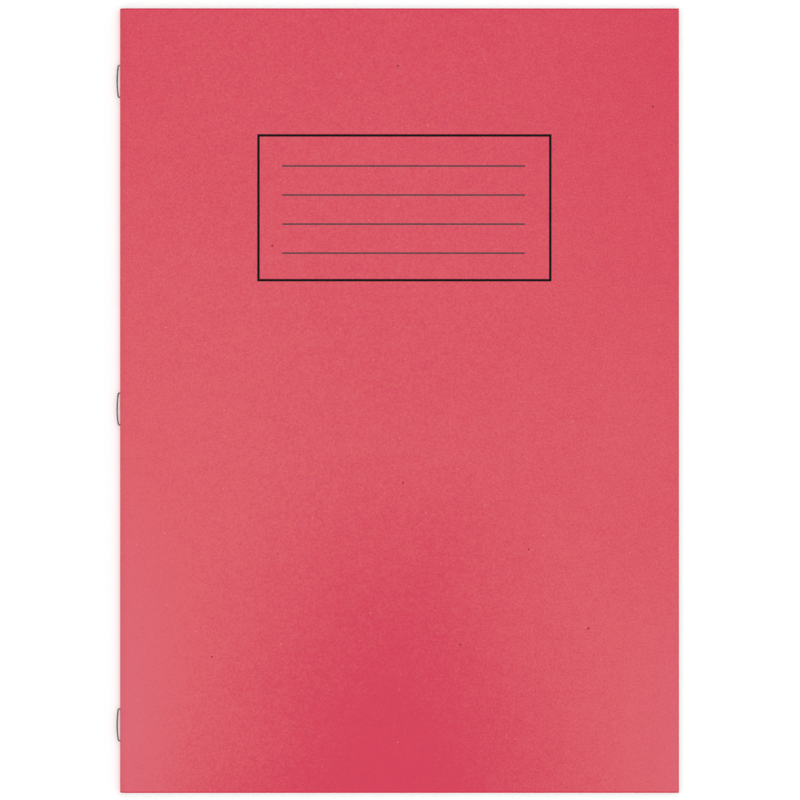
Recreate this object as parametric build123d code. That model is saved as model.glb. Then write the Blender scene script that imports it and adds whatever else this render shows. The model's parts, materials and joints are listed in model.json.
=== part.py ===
"""Stapled exercise book: nested ruled sheets in a folded card cover, held by three clinched wire staples.

The closed book lies on its back cover. +X runs from the spine to the fore-edge, +Y to the head, +Z up.
The origin is the middle of the book's footprint, on the surface that it lies on.
The leaves and the covers turn about one line, the spine axis, which runs through the clinched wire.
"""

from build123d import *
import math
import os

# Trimmed book, in millimetres
BOOK_WIDTH = 211.7
BOOK_HEIGHT = 297.0
SHEET_COUNT = 20

# Thickness of the layers, and of the air between two of them
PAPER_THICKNESS = 0.10
CARD_THICKNESS = 0.28
LAYER_GAP = 0.012

# Wire staples, placed by shares of the height, from the head. The round wire is drawn with flats
WIRE_DIAMETER = 0.55
WIRE_SIDES = 8
WIRE_CLEARANCE = 0.025
STAPLE_SHARES = (0.0925, 0.5107, 0.9138)
CROWN_LENGTH = 12.1
CROWN_STANDOFF = 0.76
CROWN_BOW = 0.40
CROWN_BEND_RADIUS = 0.55
CLINCH_LENGTH = 4.5
CLINCH_BEND_RADIUS = 0.40

# Flat strip past the staple legs that still bends with the fold
CREASE_MARGIN = 0.10

# Radii about the spine axis, from the wire in the middle out to the spine
wire_radius = WIRE_DIAMETER / 2
core_radius = wire_radius + WIRE_CLEARANCE
layer_pitch = PAPER_THICKNESS + LAYER_GAP
cover_radius = core_radius + SHEET_COUNT * layer_pitch
spine_radius = cover_radius + CARD_THICKNESS

# Flat panels run from the crease to the trimmed fore-edge
panel_start = wire_radius + CREASE_MARGIN
panel_end = BOOK_WIDTH - spine_radius

# The wire holds the middle open at the spine, and the front half leans down to close it at the fore-edge
lean = math.asin((2 * core_radius - LAYER_GAP) / panel_end)

# Staple wire, measured from the spine axis
crown_end_x = -(spine_radius + CROWN_STANDOFF)
crown_middle_x = crown_end_x - CROWN_BOW
clinch_x = CLINCH_BEND_RADIUS - core_radius
leg_y = CROWN_LENGTH / 2
clinch_tip_y = leg_y - CLINCH_LENGTH

# The spine axis is placed so that the footprint, staples and all, is centred on the origin
fore_edge_reach = panel_end * math.cos(lean) + spine_radius * math.sin(lean)
axis_x = (wire_radius - crown_middle_x - fore_edge_reach) / 2
axis_z = spine_radius
spine_axis = Axis((axis_x, 0, axis_z), (0, -1, 0))
head_plane = Plane(origin=(axis_x, BOOK_HEIGHT / 2, axis_z), x_dir=(1, 0, 0), z_dir=(0, -1, 0))

# Staples along the spine, and their legs seen from the spine axis, looking out through the folds
staple_places = [BOOK_HEIGHT / 2 - share * BOOK_HEIGHT for share in STAPLE_SHARES]
leg_places = [(y + side * leg_y, 0) for y in staple_places for side in (-1, 1)]
outward_plane = Plane(origin=(axis_x, 0, axis_z), x_dir=(0, 1, 0), z_dir=(-1, 0, 0))


def sheet_radius(sheet):
    """Inside radius of a sheet's fold. Sheet 1 is the outermost, and the last one lies on the wire."""
    return core_radius + (SHEET_COUNT - sheet) * layer_pitch


def leaned(x, z):
    """A point of the front half, given upright from the spine axis, after its lean."""
    return (x * math.cos(lean) + z * math.sin(lean), z * math.cos(lean) - x * math.sin(lean))


def back_panel(radius, thickness):
    """A flat leaf or cover panel of the back half."""
    with BuildPart() as panel:
        with BuildSketch(head_plane):
            with Locations((panel_start, -radius)):
                Rectangle(panel_end - panel_start, thickness, align=(Align.MIN, Align.MAX))
        extrude(amount=BOOK_HEIGHT)
    return panel.part


def front_panel(radius, thickness):
    """The same panel on the other side of the spine axis, leaning down to the middle of the book."""
    upright = mirror(back_panel(radius, thickness), about=Plane.XY.offset(axis_z))
    return upright.rotate(spine_axis, -math.degrees(lean))


def fold(radius, thickness):
    """The bent strip that joins a front panel to its back panel, pierced for the staple legs."""
    outside = radius + thickness
    with BuildPart() as strip:
        with BuildSketch(head_plane):
            with BuildLine():
                Polyline((0, -radius), (panel_start, -radius), (panel_start, -outside), (0, -outside))
                ThreePointArc((0, -outside), (-outside, 0), leaned(0, outside))
                Polyline(
                    leaned(0, outside),
                    leaned(panel_start, outside),
                    leaned(panel_start, radius),
                    leaned(0, radius),
                )
                ThreePointArc(leaned(0, radius), (-radius, 0), (0, -radius))
            make_face()
        extrude(amount=BOOK_HEIGHT)
        with BuildSketch(outward_plane):
            with Locations(*leg_places):
                Rectangle(2 * core_radius, 2 * core_radius)
        extrude(amount=outside, mode=Mode.SUBTRACT)
    return strip.part


def staple(place):
    """One staple: a bowed crown outside the spine, two legs through the folds, clinched inside."""
    with BuildLine(Plane(origin=(axis_x, place, axis_z))) as bare:
        Polyline((clinch_x, -clinch_tip_y), (clinch_x, -leg_y), (crown_end_x, -leg_y))
        ThreePointArc((crown_end_x, -leg_y), (crown_middle_x, 0), (crown_end_x, leg_y))
        Polyline((crown_end_x, leg_y), (clinch_x, leg_y), (clinch_x, clinch_tip_y))
    crown_corners = bare.vertices().group_by(Axis.X)[0]
    wire = bare.wire().fillet_2d(CROWN_BEND_RADIUS, crown_corners)
    clinch_corners = bare.vertices().group_by(Axis.X)[-1].sort_by_distance((axis_x, place, axis_z))[2:]
    wire = wire.fillet_2d(CLINCH_BEND_RADIUS, clinch_corners)
    cut_end = Plane(origin=wire @ 0, x_dir=(1, 0, 0), z_dir=wire % 0)
    return sweep(cut_end * RegularPolygon(wire_radius, WIRE_SIDES), path=wire)


def book():
    """Every node of the book, by name."""
    nodes = {
        "back_cover": [back_panel(cover_radius, CARD_THICKNESS)],
        "cover_fold": [fold(cover_radius, CARD_THICKNESS)],
        "front_cover": [front_panel(cover_radius, CARD_THICKNESS)],
        "sheet_folds": [],
        "staples": [staple(place) for place in staple_places],
    }
    for sheet in range(1, SHEET_COUNT + 1):
        radius = sheet_radius(sheet)
        last_leaf = 2 * SHEET_COUNT + 1 - sheet
        nodes[f"leaf_{sheet:02d}"] = [front_panel(radius, PAPER_THICKNESS)]
        nodes[f"leaf_{last_leaf:02d}"] = [back_panel(radius, PAPER_THICKNESS)]
        nodes["sheet_folds"].append(fold(radius, PAPER_THICKNESS))
    return nodes


os.makedirs("parts", exist_ok=True)
for name, solids in book().items():
    export_step(Compound(solids), os.path.join("parts", f"{name}.step"))
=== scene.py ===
"""Looks of the stapled exercise book: a mottled card cover, ruled leaves and clinched wire staples.

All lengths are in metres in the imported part's frame: +X runs from the spine to the fore-edge, +Y to the head
and +Z up. The covers and the leaves turn about the spine axis, so their sections are drawn around it, in XZ.
"""

import json
import logging
import math
from collections.abc import Iterable
from dataclasses import dataclass
from enum import Enum

import bpy
import numpy as np
from mathutils import Color, Matrix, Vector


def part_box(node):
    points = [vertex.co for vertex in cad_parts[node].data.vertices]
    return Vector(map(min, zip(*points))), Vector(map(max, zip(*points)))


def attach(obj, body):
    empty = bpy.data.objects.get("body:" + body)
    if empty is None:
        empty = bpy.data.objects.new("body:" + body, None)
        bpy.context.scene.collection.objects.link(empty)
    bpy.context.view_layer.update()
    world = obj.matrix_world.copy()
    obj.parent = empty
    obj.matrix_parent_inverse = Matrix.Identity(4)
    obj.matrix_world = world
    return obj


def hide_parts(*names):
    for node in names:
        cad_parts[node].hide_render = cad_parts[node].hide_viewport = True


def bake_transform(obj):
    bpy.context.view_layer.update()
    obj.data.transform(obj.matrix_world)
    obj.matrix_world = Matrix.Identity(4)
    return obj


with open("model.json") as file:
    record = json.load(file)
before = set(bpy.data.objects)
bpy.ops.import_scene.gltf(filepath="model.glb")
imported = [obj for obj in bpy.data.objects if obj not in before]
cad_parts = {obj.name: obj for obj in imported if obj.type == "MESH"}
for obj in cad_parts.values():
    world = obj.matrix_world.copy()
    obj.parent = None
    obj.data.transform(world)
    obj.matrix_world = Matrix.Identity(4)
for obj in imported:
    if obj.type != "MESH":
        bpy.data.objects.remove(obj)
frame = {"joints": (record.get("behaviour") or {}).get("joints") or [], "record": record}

LOG = logging.getLogger("exercise_book")
MM = 0.001
QUARTER = math.pi / 2
# Patterns read a point's place at rest from this attribute, so they stay on a piece that bends
REST_PLACE = "rest_place"
# Faces that meet at less than this angle are shaded as one, and points nearer than the weld become one
SMOOTH_UNDER = math.radians(40)
WELD = 0.001 * MM
NOISE_MIDDLE = 0.5
SCREEN_WHITE = 255

Colour = tuple[float, float, float, float]
Triple = tuple[float, float, float]
Socket = bpy.types.NodeSocket
Piece = bpy.types.Object

WHITE: Colour = (1.0, 1.0, 1.0, 1.0)


def srgb(red: int, green: int, blue: int) -> Colour:
    """Turns a colour as a screen shows it into the linear values that a shader takes.

    Args:
        red: Red from 0 to 255.
        green: Green from 0 to 255.
        blue: Blue from 0 to 255.

    Returns:
        The linear colour with an alpha of 1.
    """
    shares = Color((red / SCREEN_WHITE, green / SCREEN_WHITE, blue / SCREEN_WHITE))
    return (*shares.from_srgb_to_scene_linear(), 1.0)


class Half(Enum):
    """The half of the closed book that a panel or a leaf belongs to."""

    FRONT = "front"
    BACK = "back"


class Page(Enum):
    """A face of a leaf: its right-hand page, its left-hand page or its cut edge."""

    RECTO = "recto"
    VERSO = "verso"
    EDGE = "edge"


class Side(Enum):
    """A side of a bent layer, with the name of the tree's input for its finish."""

    INNER = "Inner Finish"
    OUTER = "Outer Finish"
    EDGE = "Edge Finish"


class Body(Enum):
    """The bodies that the book's pieces ride on or bend between."""

    BACK_COVER = "back_cover"
    FRONT_COVER = "front_cover"
    FIRST_LEAF = "leaf_01"
    SPINE = "spine"


class Slot(Enum):
    """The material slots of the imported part."""

    CARD = "cover_card"
    PAPER = "leaf_paper"
    WIRE = "staple_wire"


Finishes = dict[Side, bpy.types.Material]


@dataclass(frozen=True)
class Station:
    """A place along a section: the share of the quarter fold left to go, then the run along the flat."""

    arc: float
    run: float


STAPLE_LINE = Station(1.0, 0.0)


def along_flat(runs: Iterable[float]) -> list[Station]:
    """Gives the places past the fold at these runs."""
    return [Station(0.0, float(run)) for run in runs]


@dataclass(frozen=True)
class Spine:
    """The spine axis and the sizes that every layer shares."""

    x: float
    z: float
    lean: float
    half_height: float
    reach: float

    @classmethod
    def from_frame(cls) -> "Spine":
        """Reads the axis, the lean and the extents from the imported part.

        Returns:
            The spine.
        """
        hinge = next(j for j in frame["joints"] if j["name"] == "book_opening")
        face = next(m for m in frame["record"]["mounts"] if m["name"] == "front_face")
        _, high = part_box(Body.BACK_COVER.value)
        axis_x, _, axis_z = hinge["pos_m"]
        return cls(axis_x, axis_z, math.asin(face["axis"][0]), high[1], high[0] - axis_x)

    def at(self, run: float) -> Triple:
        """A point level with the axis, this far from it towards the fore-edge."""
        return self.x + run, 0.0, self.z

    def radii(self, node: str) -> tuple[float, float]:
        """The inner and outer radius of the fold that goes with a panel of the back half."""
        low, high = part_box(node)
        return self.z - high[2], self.z - low[2]

    def angles(self, half: Half) -> dict[str, float]:
        """Works out how a half of the book turns around the axis, for the tree that bends it.

        Args:
            half: The half of the book.

        Returns:
            The angle where its flat begins, the angle that its fold adds, and the flat's slope.
        """
        if half is Half.BACK:
            return {"Flat Angle": 3 * QUARTER, "Fold Angle": -QUARTER, "Slope": 0.0}
        return {"Flat Angle": QUARTER - self.lean, "Fold Angle": QUARTER + self.lean, "Slope": -self.lean}

    def leaned(self) -> Matrix:
        """The place of the front half: around the axis, leaning down to the fore-edge."""
        return Matrix.Translation(self.at(0.0)) @ Matrix.Rotation(self.lean, 4, "Y")


@dataclass(frozen=True)
class Span:
    """A span of values, and what its two ends become."""

    low: float
    high: float
    to_low: float = 0.0
    to_high: float = 1.0


@dataclass(frozen=True)
class Grain:
    """A noise: the size of its coarsest grains, its finer octaves, their strength, and where it is read."""

    size: float
    detail: float = 2.0
    rough: float = 0.6
    move: Triple = (0.0, 0.0, 0.0)
    stretch: Triple = (1.0, 1.0, 1.0)


@dataclass(frozen=True)
class Specks:
    """Scattered specks: the cells that they lie in, their size, the share of cells with one, and the look."""

    spacing: float
    radius: float
    share: float
    strength: float
    colour: Colour
    core: float = 0.6
    rim: float = 1.2


@dataclass(frozen=True)
class PaintedLightOval:
    """A soft oval of painted light and sheen on the cover: its middle, how far it reaches, and how much it
    changes the card's colour there.
    """

    x: float
    y: float
    across: float
    along: float
    amount: float


class NodeTree:
    """A node tree while it is being built."""

    def __init__(self, tree: bpy.types.NodeTree) -> None:
        """Takes a tree, and clears the nodes that it comes with."""
        self.tree = tree
        tree.nodes.clear()

    def node(self, kind: str, **settings: object) -> bpy.types.Node:
        """Adds a node.

        Args:
            kind: The node's type.
            **settings: Its settings, by name.

        Returns:
            The node.
        """
        made = self.tree.nodes.new(kind)
        for name, value in settings.items():
            setattr(made, name, value)
        return made

    def feed(self, socket: Socket, value: object) -> None:
        """Links an input, or sets its value.

        Args:
            socket: The input.
            value: An output to link it to, or a plain value.
        """
        if isinstance(value, bpy.types.NodeSocket):
            self.tree.links.new(value, socket)
        else:
            socket.default_value = value

    def math(self, operation: str, *values: object) -> Socket:
        """Works out one step of arithmetic.

        Args:
            operation: The step.
            *values: One to three sockets or numbers.

        Returns:
            The result.
        """
        made = self.node("ShaderNodeMath", operation=operation)
        for socket, value in zip(made.inputs, values):
            self.feed(socket, value)
        return made.outputs[0]

    def vector_math(self, operation: str, a: object, b: object) -> Socket:
        """Works out one step of arithmetic on vectors.

        Args:
            operation: The step.
            a: A vector.
            b: A second vector, or the number to scale by.

        Returns:
            The resulting vector.
        """
        made = self.node("ShaderNodeVectorMath", operation=operation)
        self.feed(made.inputs[0], a)
        self.feed(made.inputs["Scale"] if operation == "SCALE" else made.inputs[1], b)
        return made.outputs[0]

    def vector(self, x: object = 0.0, y: object = 0.0, z: object = 0.0) -> Socket:
        """Puts a vector together.

        Args:
            x: Its X, a socket or a number.
            y: Its Y.
            z: Its Z.

        Returns:
            The vector.
        """
        made = self.node("ShaderNodeCombineXYZ")
        for socket, value in zip(made.inputs, (x, y, z)):
            self.feed(socket, value)
        return made.outputs[0]

    def split(self, vector: Socket) -> tuple[Socket, Socket, Socket]:
        """Takes a vector apart.

        Args:
            vector: The vector.

        Returns:
            Its X, Y and Z.
        """
        made = self.node("ShaderNodeSeparateXYZ")
        self.feed(made.inputs[0], vector)
        return made.outputs[0], made.outputs[1], made.outputs[2]

    def span(self, value: object, span: Span) -> Socket:
        """Maps a span of values smoothly onto another, and holds its ends.

        Args:
            value: The socket to map.
            span: The span and what it becomes.

        Returns:
            The mapped value.
        """
        made = self.node("ShaderNodeMapRange", interpolation_type="SMOOTHSTEP")
        self.feed(made.inputs["Value"], value)
        made.inputs["From Min"].default_value = span.low
        made.inputs["From Max"].default_value = span.high
        made.inputs["To Min"].default_value = span.to_low
        made.inputs["To Max"].default_value = span.to_high
        return made.outputs["Result"]


class Recipe(NodeTree):
    """Builds the node tree of one procedural material."""

    def __init__(self, name: str) -> None:
        """Starts a material with a bare Principled surface.

        Args:
            name: The material's name.
        """
        self.material = bpy.data.materials.new(name)
        self.material.use_nodes = True
        super().__init__(self.material.node_tree)
        self.surface = self.node("ShaderNodeBsdfPrincipled")
        output = self.node("ShaderNodeOutputMaterial")
        self.feed(output.inputs["Surface"], self.surface.outputs["BSDF"])
        place = self.node("ShaderNodeAttribute", attribute_type="GEOMETRY", attribute_name=REST_PLACE)
        self.place: Socket = place.outputs["Vector"]

    def set(self, name: str, value: object) -> None:
        """Links or sets an input of the surface."""
        self.feed(self.surface.inputs[name], value)

    def mix(self, factor: object, a: object, b: object, blend: str = "MIX") -> Socket:
        """Mixes two colours.

        Args:
            factor: How much of the second there is.
            a: The first colour.
            b: The second colour.
            blend: How the second is laid on the first.

        Returns:
            The mixed colour.
        """
        made = self.node("ShaderNodeMix", data_type="RGBA", blend_type=blend, clamp_factor=True)
        for socket, value in (("Factor_Float", factor), ("A_Color", a), ("B_Color", b)):
            self.feed(next(s for s in made.inputs if s.identifier == socket), value)
        return next(s for s in made.outputs if s.identifier == "Result_Color")

    def mapped(self, stretch: Triple, move: Triple) -> Socket:
        """The place at rest, moved and then stretched."""
        return self.vector_math("MULTIPLY", self.vector_math("ADD", self.place, move), stretch)

    def noise(self, grain: Grain) -> Socket:
        """Makes a noise around a half.

        Args:
            grain: The noise's grain.

        Returns:
            The noise.
        """
        made = self.node("ShaderNodeTexNoise", noise_dimensions="3D")
        self.feed(made.inputs["Vector"], self.mapped(grain.stretch, grain.move))
        self.feed(made.inputs["Scale"], 1 / grain.size)
        self.feed(made.inputs["Detail"], grain.detail)
        self.feed(made.inputs["Roughness"], grain.rough)
        return made.outputs["Fac"]

    def oval(self, light_oval: PaintedLightOval) -> Socket:
        """Finds how far inside a soft oval a place is.

        Args:
            light_oval: The oval.

        Returns:
            1 in its middle, falling to 0 at its rim.
        """
        made = self.node("ShaderNodeTexGradient", gradient_type="SPHERICAL")
        within = self.mapped((1 / light_oval.across, 1 / light_oval.along, 0.0), (-light_oval.x, -light_oval.y, 0.0))
        self.feed(made.inputs["Vector"], within)
        return made.outputs["Fac"]

    def specks(self, specks: Specks) -> Socket:
        """Finds where specks lie.

        Args:
            specks: The specks.

        Returns:
            Their strength on a speck, and 0 off it.
        """
        wobble = self.node("ShaderNodeTexNoise", noise_dimensions="3D")
        self.feed(wobble.inputs["Vector"], self.place)
        self.feed(wobble.inputs["Scale"], 1 / (2 * specks.radius))
        shift = self.vector_math("SCALE", wobble.outputs["Color"], specks.radius)
        cells = self.node("ShaderNodeTexVoronoi", voronoi_dimensions="2D", feature="F1")
        self.feed(cells.inputs["Vector"], self.vector_math("ADD", shift, self.place))
        self.feed(cells.inputs["Scale"], 1 / specks.spacing)
        drawn, _, _ = self.split(cells.outputs["Color"])
        chosen = self.math("LESS_THAN", drawn, specks.share)
        size = specks.radius / specks.spacing
        fade = Span(specks.core * size, specks.rim * size, specks.strength, 0.0)
        return self.math("MULTIPLY", chosen, self.span(cells.outputs["Distance"], fade))

    def bump(self, height: Socket, depth: float) -> None:
        """Raises the surface by a height pattern.

        Args:
            height: The pattern, from 0 to 1.
            depth: How deep it is.
        """
        made = self.node("ShaderNodeBump")
        made.inputs["Strength"].default_value = 1.0
        made.inputs["Distance"].default_value = depth
        self.feed(made.inputs["Height"], height)
        self.set("Normal", made.outputs["Normal"])


@dataclass(frozen=True)
class CardFinish:
    """Manilla card dyed right through: pinkish red, finely mottled, with stray fibres and specks."""

    deep: Colour = srgb(212, 62, 88)
    pale_mottle_and_sheen: Colour = srgb(221, 96, 106)
    # Painted light and sheen: how pale the card is painted from head to tail, then the ovals where it is
    # painted paler, or deeper if below 0
    painted_light_fall: Span = Span(150 * MM, -20 * MM, 0.30, 0.64)
    painted_light_ovals: tuple[PaintedLightOval, ...] = (
        PaintedLightOval(x=-4 * MM, y=-140 * MM, across=92 * MM, along=125 * MM, amount=-0.95),
        PaintedLightOval(x=-115 * MM, y=-105 * MM, across=130 * MM, along=200 * MM, amount=0.50),
        PaintedLightOval(x=115 * MM, y=-140 * MM, across=60 * MM, along=90 * MM, amount=0.35),
        PaintedLightOval(x=52 * MM, y=-98 * MM, across=50 * MM, along=62 * MM, amount=0.28),
        PaintedLightOval(x=-45 * MM, y=100 * MM, across=160 * MM, along=85 * MM, amount=0.20),
        PaintedLightOval(x=110 * MM, y=120 * MM, across=60 * MM, along=150 * MM, amount=-0.10),
        PaintedLightOval(x=-62 * MM, y=-152 * MM, across=62 * MM, along=24 * MM, amount=-0.20),
    )
    # Mottling of the dye: soft clouds, the fine grain, and blotches between them in size
    cloud: Grain = Grain(60 * MM, 3.0, 0.5)
    cloud_amount: float = 0.25
    grain: Grain = Grain(0.72 * MM)
    grain_amount: float = 1.8
    blotch: Grain = Grain(3.6 * MM, 3.0, 0.9, move=(0.31, 0.17, 0.0))
    blotch_amount: float = 0.75
    # Mottling in brightness and in hue, as factors on the dye
    shade: Grain = Grain(0.576 * MM, 2.0, 0.8, move=(0.53, 0.71, 0.0))
    shading: Span = Span(0.2, 0.8, 0.94, 1.06)
    hue: Grain = Grain(0.72 * MM, 2.0, 0.6, move=(0.83, 0.29, 0.0))
    orange_drift: Colour = (1.0, 1.20, 0.82, 1.0)
    pink_drift: Colour = (1.0, 0.80, 1.18, 1.0)
    # Painted sheen: paler, pinker ovals near the lower corners
    painted_sheen_tint: Colour = srgb(214, 120, 146)
    painted_sheen_corners: tuple[PaintedLightOval, ...] = (
        PaintedLightOval(x=-106 * MM, y=-119 * MM, across=28 * MM, along=100 * MM, amount=0.25),
        PaintedLightOval(x=106 * MM, y=-132 * MM, across=24 * MM, along=80 * MM, amount=0.13),
    )
    # Painted light on the fold, offsetting the shade where it turns from the lamp: the factor on the colour
    # there, and how far in from the fold that goes
    painted_fold_light: Colour = (1.14, 1.0, 1.04, 1.0)
    painted_fold_light_core: float = 0.2 * MM
    painted_fold_light_rim: float = 2.0 * MM
    # Painted shade along the cut edges: how wide it is, where it fades out, and how much of it the fore-edge
    # shows
    painted_edge_shade: Colour = srgb(208, 36, 72)
    edge_width: float = 0.30 * MM
    edge_fade: float = 0.65 * MM
    fore_edge: float = 0.35
    dust: Specks = Specks(24 * MM, 0.42 * MM, 0.10, 1.0, srgb(150, 36, 58))
    fibres: Specks = Specks(11 * MM, 0.26 * MM, 0.10, 0.6, srgb(236, 150, 150))
    roughness: Span = Span(0.2, 0.8, 0.74, 0.92)
    specular: float = 0.25
    tooth: Grain = Grain(0.35 * MM, 3.0, 0.7)
    felt: Grain = Grain(1.6 * MM, 2.0, 0.5)
    relief: float = 0.012 * MM

    def painted_light_and_mottle(self, made: Recipe) -> Socket:
        """Finds how pale the card is: painted light and sheen down the cover and in the soft ovals, and the
        dye's own mottling.

        Args:
            made: The card's recipe.

        Returns:
            0 where the card is deep and 1 where it is pale.
        """
        _, y, _ = made.split(made.place)
        # Painted light down the cover, then painted light and sheen in the ovals
        painted_light_and_mottle = made.span(y, self.painted_light_fall)
        for light_oval in self.painted_light_ovals:
            painted_light_and_mottle = made.math("MULTIPLY_ADD", made.oval(light_oval), light_oval.amount, painted_light_and_mottle)
        # The dye's own mottling
        for grain, amount in (
            (self.cloud, self.cloud_amount),
            (self.grain, self.grain_amount),
            (self.blotch, self.blotch_amount),
        ):
            around = made.math("SUBTRACT", made.noise(grain), NOISE_MIDDLE)
            painted_light_and_mottle = made.math("MULTIPLY_ADD", around, amount, painted_light_and_mottle)
        return painted_light_and_mottle

    def trimmed(self, made: Recipe, spine: Spine) -> Socket:
        """Finds where shade is painted along the cut edges at head, tail and fore-edge.

        Args:
            made: The card's recipe.
            spine: The book's axis and extents.

        Returns:
            1 at the head and tail, less at the fore-edge, and 0 away from them.
        """
        x, y, _ = made.split(made.place)
        ends, fore_x = spine.half_height, spine.x + spine.reach
        trim = made.span(made.math("ABSOLUTE", y), Span(ends - self.edge_fade, ends - self.edge_width))
        fore = made.span(x, Span(fore_x - self.edge_fade, fore_x - self.edge_width, 0.0, self.fore_edge))
        return made.math("MAXIMUM", trim, fore)

    def folded(self, made: Recipe, spine: Spine) -> Socket:
        """Finds the outside of the fold, where light is painted on to offset the shade of its turn from the
        lamp.

        Args:
            made: The card's recipe.
            spine: The book's axis and extents.

        Returns:
            1 along the fold, and 0 away from it.
        """
        x, _, _ = made.split(made.place)
        _, outer = spine.radii(Body.BACK_COVER.value)
        fold_x = spine.x - outer
        return made.span(x, Span(fold_x + self.painted_fold_light_core, fold_x + self.painted_fold_light_rim, 1.0, 0.0))

    def material(self, spine: Spine) -> bpy.types.Material:
        """Makes the card's material.

        Args:
            spine: The book's axis and extents, which place the fold and the cut edges.

        Returns:
            The material.
        """
        made = Recipe("manilla_card")
        # Painted light and sheen over the cover, with the dye's own mottling
        colour = made.mix(self.painted_light_and_mottle(made), self.deep, self.pale_mottle_and_sheen)
        shade = made.span(made.noise(self.shade), self.shading)
        colour = made.mix(1.0, colour, made.vector(shade, shade, shade), "MULTIPLY")
        drift = made.mix(made.noise(self.hue), self.pink_drift, self.orange_drift)
        colour = made.mix(1.0, colour, drift, "MULTIPLY")
        # Painted sheen near the lower corners
        for light_oval in self.painted_sheen_corners:
            painted_sheen_corners = made.math("MULTIPLY", made.oval(light_oval), light_oval.amount)
            colour = made.mix(painted_sheen_corners, colour, self.painted_sheen_tint)
        # Painted light on the fold, offsetting the shade of its turn from the lamp
        colour = made.mix(self.folded(made, spine), colour, self.painted_fold_light, "MULTIPLY")
        # Painted shade along the cut edges
        colour = made.mix(self.trimmed(made, spine), colour, self.painted_edge_shade)
        for specks in (self.dust, self.fibres):
            colour = made.mix(made.specks(specks), colour, specks.colour)
        made.set("Base Color", colour)
        made.set("Roughness", made.span(made.noise(self.grain), self.roughness))
        made.set("Specular IOR Level", self.specular)
        made.bump(made.math("ADD", made.noise(self.tooth), made.noise(self.felt)), self.relief)
        return made.material


@dataclass(frozen=True)
class Ruling:
    """Printed ruling: feint lines across a page, and a margin down its left side."""

    feint: Colour = srgb(36, 122, 190)
    red: Colour = srgb(224, 40, 36)
    pitch: float = 8.0 * MM
    from_head: float = 27.0 * MM
    count: int = 33
    margin: float = 30.0 * MM
    # Half the width of a line, where its ink is full and where it ends
    core: float = 0.144 * MM
    rim: float = 0.216 * MM
    uptake: Grain = Grain(0.6 * MM, 3.0, 0.7)
    taken: Span = Span(0.25, 0.60, 0.72, 1.0)

    def print_on(self, made: Recipe, colour: Socket, page: Page, spine: Spine) -> Socket:
        """Prints the ruling over a paper's colour.

        Args:
            made: The paper's recipe.
            colour: The colour of the bare paper.
            page: The face of the leaf.
            spine: The book's axis and extents.

        Returns:
            The printed colour.
        """
        x, y, _ = made.split(made.place)
        line = Span(self.core, self.rim, 1.0, 0.0)
        taken = made.span(made.noise(self.uptake), self.taken)
        half_pitch = self.pitch / 2
        below = made.math("SUBTRACT", spine.half_height - self.from_head, y)
        feint = made.span(made.math("PINGPONG", below, half_pitch), line)
        first = made.math("GREATER_THAN", below, -half_pitch)
        last = made.math("LESS_THAN", below, self.count * self.pitch - half_pitch)
        feint = made.math("MULTIPLY", feint, made.math("MULTIPLY", first, last))
        colour = made.mix(made.math("MULTIPLY", feint, taken), colour, self.feint)
        from_spine = self.margin if page is Page.RECTO else spine.reach - self.margin
        away = made.math("ABSOLUTE", made.math("SUBTRACT", x, spine.x + from_spine))
        return made.mix(made.math("MULTIPLY", made.span(away, line), taken), colour, self.red)


@dataclass(frozen=True)
class PaperFinish:
    """Uncoated white writing paper with a faint look-through."""

    body: Colour = srgb(246, 245, 241)
    thin: Colour = srgb(241, 241, 238)
    fibre: Colour = srgb(232, 230, 224)
    cloud: Grain = Grain(3.5 * MM, 4.0, 0.6)
    look_through: Span = Span(0.3, 0.7)
    strands: Grain = Grain(0.5 * MM, 3.0, 0.7, stretch=(0.25, 1.0, 1.0))
    shown: Span = Span(0.62, 0.8, 0.0, 0.5)
    roughness: Span = Span(0.3, 0.7, 0.82, 0.95)
    specular: float = 0.2
    relief: float = 0.006 * MM
    ruling: Ruling = Ruling()

    def material(self, page: Page, spine: Spine) -> bpy.types.Material:
        """Makes the material of one face of the leaves.

        Args:
            page: The face.
            spine: The book's axis and extents, which place the ruling.

        Returns:
            The material.
        """
        made = Recipe(f"writing_paper_{page.value}")
        cloud = made.noise(self.cloud)
        strands = made.noise(self.strands)
        colour = made.mix(made.span(cloud, self.look_through), self.body, self.thin)
        colour = made.mix(made.span(strands, self.shown), colour, self.fibre)
        if page is not Page.EDGE:
            colour = self.ruling.print_on(made, colour, page, spine)
        made.set("Base Color", colour)
        made.set("Roughness", made.span(cloud, self.roughness))
        made.set("Specular IOR Level", self.specular)
        made.bump(strands, self.relief)
        return made.material


@dataclass(frozen=True)
class InkFinish:
    """Printing ink that takes a little unevenly to the card."""

    name: str
    full: Colour
    starved: Colour
    uneven: Grain = Grain(0.6 * MM, 3.0, 0.7)
    thinned: Span = Span(0.45, 0.85)
    roughness: Span = Span(0.3, 0.7, 0.55, 0.70)
    specular: float = 0.08
    relief: float = 0.003 * MM

    def material(self) -> bpy.types.Material:
        """Makes the ink's material.

        Returns:
            The material.
        """
        made = Recipe(self.name)
        uneven = made.noise(self.uneven)
        made.set("Base Color", made.mix(made.span(uneven, self.thinned), self.full, self.starved))
        made.set("Roughness", made.span(uneven, self.roughness))
        made.set("Specular IOR Level", self.specular)
        made.bump(uneven, self.relief)
        return made.material


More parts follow.
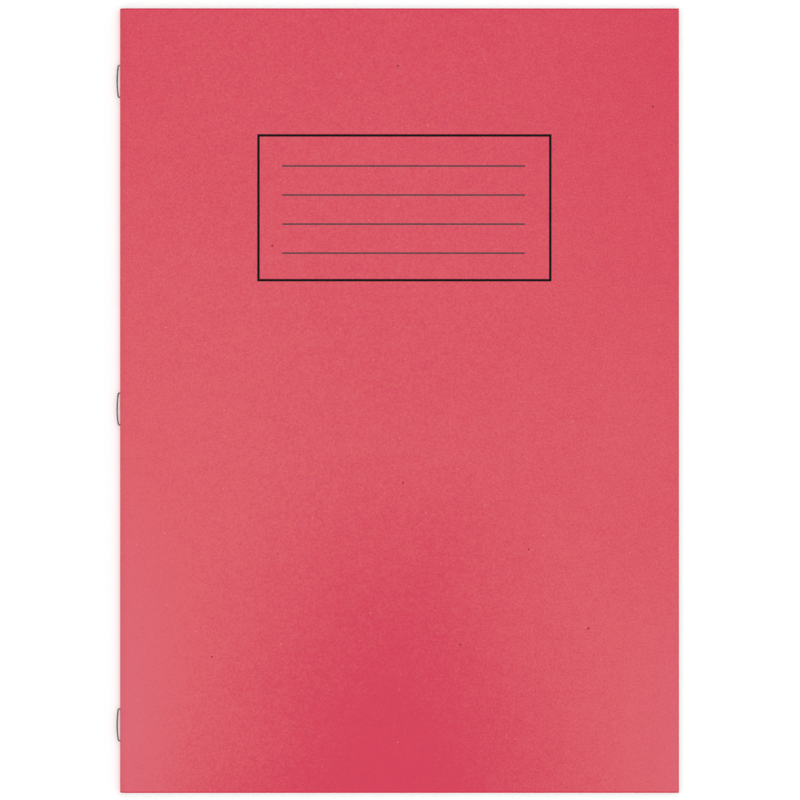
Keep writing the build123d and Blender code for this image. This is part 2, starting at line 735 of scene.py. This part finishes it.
@dataclass(frozen=True)
class WireFinish:
    """Drawn steel wire, dulled and scored along its length."""

    bright: Colour = srgb(104, 102, 100)
    dull: Colour = srgb(66, 64, 63)
    tarnish: Grain = Grain(1.2 * MM, 3.0, 0.6)
    dulled: Span = Span(0.35, 0.7)
    scores: Grain = Grain(0.12 * MM, 2.0, 0.6, stretch=(1.0, 0.08, 1.0))
    roughness: Span = Span(0.3, 0.7, 0.28, 0.46)
    relief: float = 0.006 * MM

    def material(self) -> bpy.types.Material:
        """Makes the wire's material.

        Returns:
            The material.
        """
        made = Recipe("staple_steel")
        scores = made.noise(self.scores)
        dulled = made.span(made.noise(self.tarnish), self.dulled)
        made.set("Base Color", made.mix(dulled, self.bright, self.dull))
        made.set("Metallic", 1.0)
        made.set("Roughness", made.span(scores, self.roughness))
        made.bump(scores, self.relief)
        return made.material


class GeometryTree(NodeTree):
    """Builds a Geometry Nodes tree with named inputs, and runs it on a mesh."""

    def __init__(self, name: str) -> None:
        """Starts a tree that takes and gives geometry.

        Args:
            name: The tree's name.
        """
        super().__init__(bpy.data.node_groups.new(name, "GeometryNodeTree"))
        for way in ("OUTPUT", "INPUT"):
            self.tree.interface.new_socket("Geometry", in_out=way, socket_type="NodeSocketGeometry")
        self.inputs = self.node("NodeGroupInput")
        self.identifiers: dict[str, str] = {}

    def size(self, name: str, kind: str = "NodeSocketFloat") -> Socket:
        """Adds a named input.

        Args:
            name: Its name.
            kind: The type of its socket.

        Returns:
            The socket inside the tree.
        """
        made = self.tree.interface.new_socket(name, in_out="INPUT", socket_type=kind)
        self.identifiers[name] = made.identifier
        return self.inputs.outputs[name]

    def wired(self, kind: str, **links: object) -> bpy.types.Node:
        """Adds a node and feeds its inputs.

        Args:
            kind: The node's type.
            **links: A socket or value for each input, by its name with underscores for spaces.

        Returns:
            The node.
        """
        made = self.node(kind)
        for name, value in links.items():
            self.feed(made.inputs[name.replace("_", " ")], value)
        return made

    def keep(self, geometry: Socket, domain: str, kind: str, fields: dict[str, object]) -> list[Socket]:
        """Keeps values on a geometry, as they are before the next steps change it.

        Args:
            geometry: The geometry.
            domain: What each value belongs to.
            kind: The type of the values.
            fields: The values, by name.

        Returns:
            The geometry, then each value that was kept.
        """
        made = self.node("GeometryNodeCaptureAttribute", domain=domain)
        self.feed(made.inputs[0], geometry)
        for name, field in fields.items():
            made.capture_items.new(kind, name)
            self.feed(made.inputs[name], field)
        return [made.outputs[0], *(made.outputs[name] for name in fields)]

    def joined(self, *parts: Socket) -> Socket:
        """Joins geometries.

        Args:
            *parts: The geometries.

        Returns:
            Them as one.
        """
        made = self.node("GeometryNodeJoinGeometry")
        for part in parts:
            self.feed(made.inputs[0], part)
        return made.outputs[0]

    def end(self, geometry: Socket, finishes: dict[str, object]) -> None:
        """Ends the tree: real geometry, in the materials that its inputs give.

        Args:
            geometry: What the tree has made.
            finishes: The faces that wear each finish, by the name of its input.
        """
        worn = self.wired("GeometryNodeRealizeInstances", Geometry=geometry)
        for name, faces in finishes.items():
            bare, finish = worn.outputs[0], self.size(name, "NodeSocketMaterial")
            worn = self.wired("GeometryNodeSetMaterial", Geometry=bare, Selection=faces, Material=finish)
        self.feed(self.node("NodeGroupOutput").inputs[0], worn.outputs[0])

    def run(self, base: bpy.types.Mesh, values: dict[str, object]) -> bpy.types.Mesh:
        """Runs the tree on a mesh, which is used up.

        Args:
            base: The mesh that the tree starts from.
            values: A value for each named input.

        Returns:
            The result as a plain mesh.
        """
        holder = bpy.data.objects.new(self.tree.name, base)
        modifier = holder.modifiers.new(self.tree.name, "NODES")
        modifier.node_group = self.tree
        for name, value in values.items():
            modifier[self.identifiers[name]] = value
        bpy.context.scene.collection.objects.link(holder)
        graph = bpy.context.evaluated_depsgraph_get()
        result = bpy.data.meshes.new_from_object(holder.evaluated_get(graph))
        holder.modifiers.remove(modifier)
        bpy.data.objects.remove(holder)
        bpy.data.meshes.remove(base)
        return result


class BendTree(GeometryTree):
    """Bends a flat pattern around the spine axis, and makes it as thick as its layer.

    A point of the pattern has its share of the quarter fold as X, its height as Y and its run as Z.
    """

    def __init__(self) -> None:
        """Builds the tree."""
        super().__init__("bent_layer")
        arc, height, run = self.split(self.node("GeometryNodeInputPosition").outputs[0])
        angle = self.math("MULTIPLY_ADD", arc, self.size("Fold Angle"), self.size("Flat Angle"))
        slope = self.size("Slope")
        along = self.vector(self.math("COSINE", slope), 0.0, self.math("SINE", slope))
        outward = self.vector(self.math("COSINE", angle), 0.0, self.math("SINE", angle))
        foot = self.vector_math("ADD", self.size("Axis", "NodeSocketVector"), self.vector(y=height))
        foot = self.vector_math("ADD", foot, self.vector_math("SCALE", along, run))
        places = {
            name: self.vector_math("ADD", foot, self.vector_math("SCALE", outward, self.size(name)))
            for name in ("Inner Radius", "Outer Radius")
        }
        flat, inner, outer = self.keep(self.inputs.outputs["Geometry"], "POINT", "VECTOR", places)

        bent = self.wired("GeometryNodeSetPosition", Geometry=flat, Position=inner).outputs[0]
        raised = self.wired("GeometryNodeExtrudeMesh", Mesh=bent, Offset_Scale=0.0, Individual=False)
        walls, top, side = (raised.outputs[name] for name in ("Mesh", "Top", "Side"))
        outside = self.wired("GeometryNodeSetPosition", Geometry=walls, Selection=top, Position=outer)
        inside = self.wired("GeometryNodeFlipFaces", Mesh=bent)
        both = self.joined(outside.outputs[0], inside.outputs[0])
        closed = self.wired("GeometryNodeMergeByDistance", Geometry=both, Distance=WELD)
        finishes = {Side.INNER.value: True, Side.OUTER.value: top, Side.EDGE.value: side}
        self.end(closed.outputs[0], finishes)


@dataclass(frozen=True)
class LegHoles:
    """Where the staple legs pass through the folds."""

    windows: tuple[tuple[float, float], ...]
    half_width: float
    widest: float = math.radians(80)

    def heights(self, low: float, high: float, steps: int) -> np.ndarray:
        """Gives places from tail to head, with the edges of every hole among them.

        Args:
            low: The height of the tail.
            high: The height of the head.
            steps: About how many places there are between the holes.

        Returns:
            The places, rising.
        """
        edges = np.ravel(self.windows)
        even = np.linspace(low, high, steps)
        clear = [y for y in even if np.abs(edges - y).min() > 2 * self.half_width]
        return np.sort([*clear, *edges])

    def pierced(self, heights: np.ndarray) -> list[bool]:
        """Whether each step between two heights is a hole."""
        middles = (heights[1:] + heights[:-1]) / 2
        return [any(low < y < high for low, high in self.windows) for y in middles]

    def arcs(self, radius: float, steps: int, wider: float = 1.0) -> list[Station]:
        """Gives places along a quarter fold, the second of them at the edge of the holes.

        Args:
            radius: The fold's inner radius.
            steps: How many places there are after the first.
            wider: How much wider than the legs need the holes are.

        Returns:
            The places, without the one where the flat begins.
        """
        opening = math.asin(min(self.half_width * wider / radius, math.sin(self.widest)))
        rest = np.linspace(1 - opening / QUARTER, 0, steps)[:-1]
        return [STAPLE_LINE] + [Station(float(arc), 0.0) for arc in rest]


@dataclass
class Layer:
    """A strip of card or paper, bent between two radii about the spine axis."""

    spine: Spine
    half: Half
    radii: tuple[float, float]
    stations: list[Station]
    heights: np.ndarray
    holes: LegHoles | None = None

    def pattern(self) -> bpy.types.Mesh:
        """Cuts the flat pattern of the layer, with the leg holes left out of its first row.

        Returns:
            The pattern.
        """
        across = len(self.heights)
        pierced = self.holes.pierced(self.heights) if self.holes else [False] * (across - 1)
        faces = []
        for row in range(len(self.stations) - 1):
            for step in range(across - 1):
                if row == 0 and pierced[step]:
                    continue
                a, b = row * across + step, (row + 1) * across + step
                ring = (a, b, b + 1, a + 1)
                # The back half bends the other way, so its faces are turned over
                faces.append(ring if self.half is Half.FRONT else ring[::-1])
        made = bpy.data.meshes.new("flat_pattern")
        made.from_pydata([(s.arc, float(y), s.run) for s in self.stations for y in self.heights], [], faces)
        return made

    def bend(self, tree: BendTree, finishes: Finishes) -> bpy.types.Mesh:
        """Bends the pattern.

        Args:
            tree: The tree that bends it.
            finishes: The material of each side.

        Returns:
            The layer as a closed mesh.
        """
        inner, outer = self.radii
        sizes = {"Axis": self.spine.at(0.0), "Inner Radius": inner, "Outer Radius": outer}
        worn = {side.value: finish for side, finish in finishes.items()}
        return tree.run(self.pattern(), sizes | self.spine.angles(self.half) | worn)


def make_piece(name: str, mesh: bpy.types.Mesh, slot: Slot) -> Piece:
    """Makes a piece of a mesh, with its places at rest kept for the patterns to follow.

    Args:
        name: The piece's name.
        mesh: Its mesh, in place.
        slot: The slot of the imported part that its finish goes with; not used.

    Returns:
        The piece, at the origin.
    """
    mesh.name = name
    places = np.empty(3 * len(mesh.vertices), np.float32)
    mesh.vertices.foreach_get("co", places)
    mesh.attributes.new(REST_PLACE, "FLOAT_VECTOR", "POINT").data.foreach_set("vector", places)
    mesh.polygons.foreach_set("use_smooth", [True] * len(mesh.polygons))
    mesh.set_sharp_from_angle(angle=SMOOTH_UNDER)
    mesh.update()
    made = bpy.data.objects.new(name, mesh)
    bpy.context.scene.collection.objects.link(made)
    return made


@dataclass
class Cover:
    """The folded card cover."""

    spine: Spine
    holes: LegHoles
    tree: BendTree
    finish: CardFinish = CardFinish()
    # The front half of the fold turns past the legs, so its holes are this much wider
    front_hole: float = 1.9
    # The fold's strip ends at the first of these distances from the spine axis, and the front panel has closer
    # places up to the second
    crease_start: float = 1.5 * MM
    crease_end: float = 4.5 * MM
    # A distance from the back panel's fold, which gives a point that nothing uses
    back_bend: float = 5.6 * MM
    arc_steps: int = 10
    crease_steps: int = 12
    flat_steps: int = 18
    height_steps: int = 24

    def dress(self) -> Finishes:
        """Makes the card's material, for every side."""
        card = self.finish.material(self.spine)
        return {side: card for side in Side}

    def panel(self, name: str, half: Half, stations: list[Station], finishes: Finishes) -> Piece:
        """Makes a piece of the cover, pierced for the staple legs if it reaches the staple line.

        Args:
            name: The piece's name.
            half: The half of the book.
            stations: Its places along the section.
            finishes: The material of each side.

        Returns:
            The piece.
        """
        ends, radii = self.spine.half_height, self.spine.radii(Body.BACK_COVER.value)
        heights = self.holes.heights(-ends, ends, self.height_steps)
        holes = self.holes if stations[0] == STAPLE_LINE else None
        layer = Layer(self.spine, half, radii, stations, heights, holes)
        return make_piece(name, layer.bend(self.tree, finishes), Slot.CARD)

    def build(self) -> list[Piece]:
        """Makes the two panels and the fold between them.

        Returns:
            The pieces.
        """
        inner, outer = self.spine.radii(Body.BACK_COVER.value)
        fold = -(inner + outer) / 2
        strip = along_flat(np.linspace(0, self.crease_start, self.crease_steps))
        turn = np.linspace(self.crease_start, self.crease_end, self.crease_steps)
        flat = np.linspace(self.crease_end, self.spine.reach, self.flat_steps)
        runs = along_flat([*turn, *flat[1:]])
        start, end = self.spine.at(self.crease_start), self.spine.at(self.crease_end)
        finishes = self.dress()

        arcs = self.holes.arcs(inner, self.arc_steps)
        back = self.panel("back_card", Half.BACK, arcs + strip + runs[1:], finishes)
        unbent = self.spine.at(fold + self.back_bend)
        self.spine.at(fold)
        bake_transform(back)
        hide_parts("back_cover", "cover_fold")

        arcs = self.holes.arcs(inner, self.arc_steps, self.front_hole)
        quarter = self.panel("front_fold_card", Half.FRONT, arcs + strip, finishes)
        across = self.spine.at(2 * fold - self.crease_start)
        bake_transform(quarter)
        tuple(start)
        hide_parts("cover_fold")

        front = self.panel("front_card", Half.FRONT, runs, finishes)
        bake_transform(front)
        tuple(start)
        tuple(end)
        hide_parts("front_cover")
        return [back, quarter, front]


@dataclass
class TitleBox:
    """The empty title box printed on the front of the cover, measured from its spine and its head."""

    spine: Spine
    frame_ink: InkFinish = InkFinish("title_frame_ink", srgb(5, 4, 5), srgb(18, 13, 15))
    rule_ink: InkFinish = InkFinish("title_rule_ink", srgb(66, 64, 67), srgb(80, 76, 79))
    left: float = 52.045 * MM
    top: float = 47.625 * MM
    width: float = 111.42 * MM
    height: float = 55.75 * MM
    line: float = 0.94 * MM
    rule_left: float = 61.5 * MM
    rule_top: float = 59.66 * MM
    rule_length: float = 91.9 * MM
    rule_pitch: float = 11.0 * MM
    rule_line: float = 0.56 * MM
    rule_count: int = 4
    ink_depth: float = 0.016 * MM

    def tree(self) -> GeometryTree:
        """Builds the tree: a frame that follows a rectangle, and rules repeated inside it.

        Returns:
            The tree.
        """
        made = GeometryTree("title_box")
        rectangle = "GeometryNodeCurvePrimitiveQuadrilateral"
        depth = made.size("Ink Depth")
        path = made.wired(rectangle, Width=made.size("Box Width"), Height=made.size("Box Height"))
        nib = made.wired(rectangle, Width=made.size("Box Nib"), Height=depth)
        box = made.wired("GeometryNodeCurveToMesh", Curve=path.outputs[0], Profile_Curve=nib.outputs[0])
        framed, in_frame = made.keep(box.outputs[0], "FACE", "BOOLEAN", {"In Frame": True})
        bar_size = made.vector(made.size("Rule Length"), made.size("Rule Line"), depth)
        bar = made.wired("GeometryNodeMeshCube", Size=bar_size)
        rows = made.wired(
            "GeometryNodeMeshLine",
            Count=made.size("Rule Count", "NodeSocketInt"),
            Start_Location=made.size("First Rule", "NodeSocketVector"),
            Offset=made.vector(y=made.size("Rule Step")),
        )
        rules = made.wired("GeometryNodeInstanceOnPoints", Points=rows.outputs[0], Instance=bar.outputs[0])
        made.end(made.joined(framed, rules.outputs[0]), {"Rule Ink": True, "Frame Ink": in_frame})
        return made

    def build(self) -> list[Piece]:
        """Prints the box on the front of the cover.

        Returns:
            The piece.
        """
        middle_x, middle_y = self.left + self.width / 2, self.top + self.height / 2
        # The nib goes round each corner at a slant, so it is as wide as the diagonal of the line
        values = {
            "Ink Depth": self.ink_depth,
            "Box Width": self.width - self.line,
            "Box Height": self.height - self.line,
            "Box Nib": self.line * math.sqrt(2),
            "Rule Length": self.rule_length,
            "Rule Line": self.rule_line,
            "Rule Count": self.rule_count,
            "First Rule": (self.rule_left + self.rule_length / 2 - middle_x, middle_y - self.rule_top, 0.0),
            "Rule Step": -self.rule_pitch,
            "Rule Ink": self.rule_ink.material(),
            "Frame Ink": self.frame_ink.material(),
        }
        mesh = self.tree().run(bpy.data.meshes.new("title_start"), values)
        _, outer = self.spine.radii(Body.BACK_COVER.value)
        place = (middle_x - outer, self.spine.half_height - middle_y, outer)
        mesh.transform(self.spine.leaned() @ Matrix.Translation(place))
        box = make_piece("title_box", mesh, Slot.CARD)
        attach(box, Body.FRONT_COVER.value)
        return [box]


@dataclass(frozen=True)
class Trim:
    """How much a leaf was trimmed short of the cover at its tail, its head and its fore-edge."""

    tail: float
    head: float
    fore: float


@dataclass
class Leaves:
    """The forty ruled leaves, with their halves of the folds."""

    spine: Spine
    holes: LegHoles
    tree: BendTree
    finish: PaperFinish = PaperFinish()
    count: int = 40
    # The front half of a fold turns past the legs, so its holes are this much wider
    front_hole: float = 1.3
    # An opened leaf curves this far from its fold, from the outermost leaf to the middle one
    tightest_bend: float = 8.0 * MM
    widest_bend: float = 13.0 * MM
    # The leaves of the back half keep this share of the curve, and then fan out over a length
    back_share: float = 0.70
    fan_length: float = 70.0 * MM
    # The most that a leaf is trimmed short of the cover
    fore_wander: float = 0.14 * MM
    trim_wander: float = 0.06 * MM
    seed: int = 41
    arc_steps: int = 6
    bend_steps: int = 14
    fan_steps: int = 9
    flat_steps: int = 3
    height_steps: int = 12

    def dress(self) -> dict[Half, Finishes]:
        """Makes the paper's materials.

        Returns:
            The material of each side of a leaf, in each half of the book.
        """
        recto, verso, edge = (self.finish.material(page, self.spine) for page in Page)
        return {
            Half.FRONT: {Side.INNER: verso, Side.OUTER: recto, Side.EDGE: edge},
            Half.BACK: {Side.INNER: recto, Side.OUTER: verso, Side.EDGE: edge},
        }

    def half_of(self, number: int) -> Half:
        """The half of the book that a leaf is in."""
        return Half.FRONT if number <= self.count // 2 else Half.BACK

    def radii(self, number: int) -> tuple[float, float]:
        """The inner and outer radius of a leaf's fold, from the back leaf of its sheet."""
        return self.spine.radii(f"leaf_{max(number, self.count + 1 - number):02d}")

    def bend_of(self, number: int) -> float:
        """Works out how far from its fold a leaf still curves when it is opened.

        Args:
            number: The leaf, counted from the front.

        Returns:
            The length of its curve, which grows towards the middle of the book.
        """
        inwards = min(number, self.count + 1 - number) / (self.count / 2)
        bend = self.tightest_bend + (self.widest_bend - self.tightest_bend) * inwards
        return bend if self.half_of(number) is Half.FRONT else bend * self.back_share

    def near_stations(self, half: Half, inner: float, length: float) -> list[Station]:
        """Gives places along a leaf's fold and its curve.

        Args:
            half: The half of the book.
            inner: The inner radius of its fold.
            length: How far along the flat it curves.

        Returns:
            The places.
        """
        wider = self.front_hole if half is Half.FRONT else 1.0
        curve = along_flat(np.linspace(0, length, self.bend_steps))
        return self.holes.arcs(inner, self.arc_steps, wider) + curve

    def far_stations(self, length: float, short: float) -> list[Station]:
        """Gives places along the rest of a leaf.

        Args:
            length: How far along the flat it curves.
            short: How much too short it was trimmed.

        Returns:
            The places.
        """
        fan = np.linspace(length, length + self.fan_length, self.fan_steps)
        flat = np.linspace(length + self.fan_length, self.spine.reach, self.flat_steps)
        flat[-1] -= short
        return along_flat([*fan, *flat[1:]])

    def leaf(self, number: int, trim: Trim, finishes: Finishes) -> list[Piece]:
        """Makes one leaf: one piece in the front half, and a gutter and a page in the back half.

        Args:
            number: The leaf, counted from the front.
            trim: How short it was trimmed.
            finishes: The material of each side.

        Returns:
            Its pieces.
        """
        spine, node, half = self.spine, f"leaf_{number:02d}", self.half_of(number)
        radii, bend = self.radii(number), self.bend_of(number)
        radius = sum(radii) / 2
        length = bend - radius
        tail, head = trim.tail - spine.half_height, spine.half_height - trim.head
        heights = self.holes.heights(tail, head, self.height_steps)
        near = self.near_stations(half, radii[0], length)
        far = self.far_stations(length, trim.fore)
        seam = spine.at(length)
        if half is Half.FRONT:
            whole = Layer(spine, half, radii, near + far[1:], heights, self.holes)
            page = make_piece(f"ruled_{node}", whole.bend(self.tree, finishes), Slot.PAPER)
            spine.at(-radius - bend)
            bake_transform(page)
            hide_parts(node)
            return [page]
        fold = Layer(spine, half, radii, near, heights, self.holes)
        gutter = make_piece(f"gutter_{node}", fold.bend(self.tree, finishes), Slot.PAPER)
        spine.at(-radius)
        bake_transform(gutter)
        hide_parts("sheet_folds")
        flat = Layer(spine, half, radii, far, heights)
        page = make_piece(f"ruled_{node}", flat.bend(self.tree, finishes), Slot.PAPER)
        spine.at(length + self.fan_length)
        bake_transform(page)
        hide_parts(node)
        return [gutter, page]

    def build(self) -> list[Piece]:
        """Makes every leaf, each trimmed a little differently.

        Returns:
            The pieces.
        """
        chance = np.random.default_rng(self.seed)
        finishes, pieces = self.dress(), []
        for number in range(1, self.count + 1):
            tail, head = chance.uniform(0, self.trim_wander, 2)
            trim = Trim(tail, head, chance.uniform(0, self.fore_wander))
            pieces += self.leaf(number, trim, finishes[self.half_of(number)])
        return pieces


@dataclass
class Staples:
    """Three wire staples: a bowed crown outside the spine, and legs clinched in the middle of the book."""

    spine: Spine
    finish: WireFinish = WireFinish()
    shares: tuple[float, ...] = (0.0925, 0.5107, 0.9138)
    wire_radius: float = 0.275 * MM
    sides: int = 14
    crown_half: float = 6.05 * MM
    crown_x: float = -3.58 * MM
    crown_bow: float = 0.40 * MM
    crown_corner: float = 0.55 * MM
    clinch_x: float = 0.10 * MM
    clinch_length: float = 4.5 * MM
    clinch_corner: float = 0.40 * MM
    crown_steps: int = 16
    corner_steps: int = 6
    clearance: float = 0.035 * MM

    def places(self) -> list[float]:
        """The heights of the staples' middles."""
        return [self.spine.half_height * (1 - 2 * share) for share in self.shares]

    def leg_holes(self) -> LegHoles:
        """Finds the holes that the legs need in the folds.

        Returns:
            The holes.
        """
        half = self.wire_radius + self.clearance
        legs = sorted(y + side * self.crown_half for y in self.places() for side in (-1, 1))
        return LegHoles(tuple((y - half, y + half) for y in legs), half)

    def path(self) -> bpy.types.Mesh:
        """Draws the middle of the wire from one clinched tip to the other, around a staple's own middle.

        Returns:
            The path as a chain of edges.
        """
        corner, bend = self.clinch_corner, self.crown_corner
        turn = np.linspace(0, QUARTER, self.corner_steps)
        half = [(self.clinch_x, self.crown_half - self.clinch_length)]
        x, y = self.clinch_x - corner, self.crown_half - corner
        half += [(x + corner * math.cos(angle), y + corner * math.sin(angle)) for angle in turn]
        x, y = self.crown_x + bend, self.crown_half - bend
        half += [(x - bend * math.sin(angle), y + bend * math.cos(angle)) for angle in turn]
        bow = np.linspace(1, 0, self.crown_steps)[1:]
        half += [(self.crown_x - self.crown_bow * (1 - share**2), y * share) for share in bow]
        points = [(x, y, 0.0) for x, y in half] + [(x, -y, 0.0) for x, y in reversed(half[:-1])]
        made = bpy.data.meshes.new("wire_path")
        made.from_pydata(points, [(i, i + 1) for i in range(len(points) - 1)], [])
        return made

    def tree(self) -> GeometryTree:
        """Builds the tree: wire that follows its path, set out at each place on the spine.

        Returns:
            The tree.
        """
        made = GeometryTree("staple_wire")
        sides, radius = made.size("Wire Sides", "NodeSocketInt"), made.size("Wire Radius")
        path = made.wired("GeometryNodeObjectInfo", Object=made.size("Wire Path", "NodeSocketObject"))
        curve = made.wired("GeometryNodeMeshToCurve", Mesh=path.outputs["Geometry"]).outputs[0]
        ring = made.wired("GeometryNodeCurvePrimitiveCircle", Resolution=sides, Radius=radius).outputs[0]
        wire = made.wired("GeometryNodeCurveToMesh", Curve=curve, Profile_Curve=ring, Fill_Caps=True)
        points = made.wired("GeometryNodeMeshToPoints", Mesh=made.inputs.outputs["Geometry"]).outputs[0]
        wires = made.wired("GeometryNodeInstanceOnPoints", Points=points, Instance=wire.outputs[0])
        made.end(wires.outputs[0], {"Steel": True})
        return made

    def build(self) -> list[Piece]:
        """Draws the wire along its path and sets it at each place on the spine.

        Returns:
            The piece.
        """
        route = bpy.data.objects.new("wire_path", self.path())
        bpy.context.scene.collection.objects.link(route)
        places = bpy.data.meshes.new("staple_places")
        places.from_pydata([(self.spine.x, y, self.spine.z) for y in self.places()], [], [])
        values = {
            "Wire Path": route,
            "Wire Sides": self.sides,
            "Wire Radius": self.wire_radius,
            "Steel": self.finish.material(),
        }
        wires = self.tree().run(places, values)
        bpy.data.objects.remove(route)
        staples = make_piece("staple_wires", wires, Slot.WIRE)
        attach(staples, Body.SPINE.value)
        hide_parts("staples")
        return [staples]


@dataclass
class Studio:
    """The pale floor, the soft light and the camera straight above the book."""

    pixels_per_mm: float = 2.6416
    image_pixels: int = 800
    look_at: tuple[float, float] = (0.963 * MM, 0.245 * MM)
    cover_top: float = 5.35 * MM
    lens: float = 200.0
    sensor: float = 36.0
    nearest: float = 0.05
    furthest: float = 50.0
    floor_drop: float = 0.03 * MM
    floor_size: float = 40.0
    floor_albedo: float = 0.90
    floor_lift: Span = Span(0.0, 3.2, 0.12, 0.56)
    sky: float = 0.50
    lamp_height: float = 1.9
    lamp_size: float = 2.2
    lamp_watts: float = 26.0

    def shown(self, made: NodeTree) -> Socket:
        """Finds the rays that show the background: straight to the camera, in metal or through glass.

        Args:
            made: The tree that asks.

        Returns:
            1 for those rays and 0 for others.
        """
        rays = made.node("ShaderNodeLightPath")
        names = ("Is Camera Ray", "Is Glossy Ray", "Is Transmission Ray")
        seen, glossy, through = (rays.outputs[name] for name in names)
        return made.math("MAXIMUM", seen, made.math("MAXIMUM", glossy, through))

    def floor_material(self) -> bpy.types.Material:
        """Makes a matte white that keeps the book's shadow, and is lifted further from the book.

        Returns:
            The material.
        """
        material = bpy.data.materials.new("pale_floor")
        material.use_nodes = True
        made = NodeTree(material.node_tree)
        matte = made.node("ShaderNodeBsdfDiffuse")
        made.feed(matte.inputs["Color"], (self.floor_albedo, self.floor_albedo, self.floor_albedo, 1.0))
        away = made.node("ShaderNodeVectorMath", operation="LENGTH")
        made.feed(away.inputs[0], made.node("ShaderNodeTexCoord").outputs["Object"])
        glow = made.node("ShaderNodeEmission")
        lift = made.span(away.outputs["Value"], self.floor_lift)
        made.feed(glow.inputs["Strength"], made.math("MULTIPLY", self.shown(made), lift))
        both = made.node("ShaderNodeAddShader")
        made.feed(both.inputs[0], matte.outputs[0])
        made.feed(both.inputs[1], glow.outputs[0])
        made.feed(made.node("ShaderNodeOutputMaterial").inputs["Surface"], both.outputs[0])
        return material

    def build_floor(self) -> None:
        """Lays the floor that the book rests on."""
        far, z = self.floor_size / 2, -self.floor_drop
        mesh = bpy.data.meshes.new("floor")
        corners = [(-far, -far, z), (far, -far, z), (far, far, z), (-far, far, z)]
        mesh.from_pydata(corners, [], [(0, 1, 2, 3)])
        mesh.materials.append(self.floor_material())
        floor = bpy.data.objects.new("floor", mesh)
        bpy.context.scene.collection.objects.link(floor)

    def build_light(self) -> None:
        """Hangs one large soft lamp over the book, under a plain white sky."""
        world = bpy.data.worlds.new("studio")
        world.use_nodes = True
        made = NodeTree(world.node_tree)
        backdrop = made.node("ShaderNodeBackground")
        made.feed(backdrop.inputs["Color"], WHITE)
        made.feed(backdrop.inputs["Strength"], made.span(self.shown(made), Span(0.0, 1.0, self.sky, 1.0)))
        made.feed(made.node("ShaderNodeOutputWorld").inputs["Surface"], backdrop.outputs[0])
        bpy.context.scene.world = world
        lamp = bpy.data.lights.new("soft_lamp", "AREA")
        lamp.shape = "SQUARE"
        lamp.size = self.lamp_size
        lamp.energy = self.lamp_watts
        hung = bpy.data.objects.new("soft_lamp", lamp)
        hung.location = (0.0, 0.0, self.lamp_height)
        bpy.context.scene.collection.objects.link(hung)

    def build_camera(self) -> None:
        """Sets the camera straight above the front cover, framed as the photograph is."""
        data = bpy.data.cameras.new("camera")
        data.lens = self.lens
        data.sensor_width = self.sensor
        data.clip_start = self.nearest
        data.clip_end = self.furthest
        frame_width = self.image_pixels / self.pixels_per_mm * MM
        camera = bpy.data.objects.new("camera", data)
        camera.location = (*self.look_at, self.cover_top + frame_width * self.lens / self.sensor)
        bpy.context.scene.collection.objects.link(camera)
        bpy.context.scene.camera = camera
        bpy.context.scene.view_settings.view_transform = "Standard"

    def build(self) -> None:
        """Builds the floor, the light and the camera."""
        self.build_floor()
        self.build_light()
        self.build_camera()


def main() -> None:
    """Builds the book in order, reports each piece, and sets the studio around it."""
    logging.basicConfig(level=logging.INFO, format="%(name)s: %(message)s")
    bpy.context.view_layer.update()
    spine, tree = Spine.from_frame(), BendTree()
    staples = Staples(spine)
    holes = staples.leg_holes()
    for part in (Cover(spine, holes, tree), TitleBox(spine), Leaves(spine, holes, tree), staples):
        for piece in part.build():
            LOG.info("%s: %d faces", piece.name, len(piece.data.polygons))
    Studio().build()


if __name__ == "__main__":
    main()
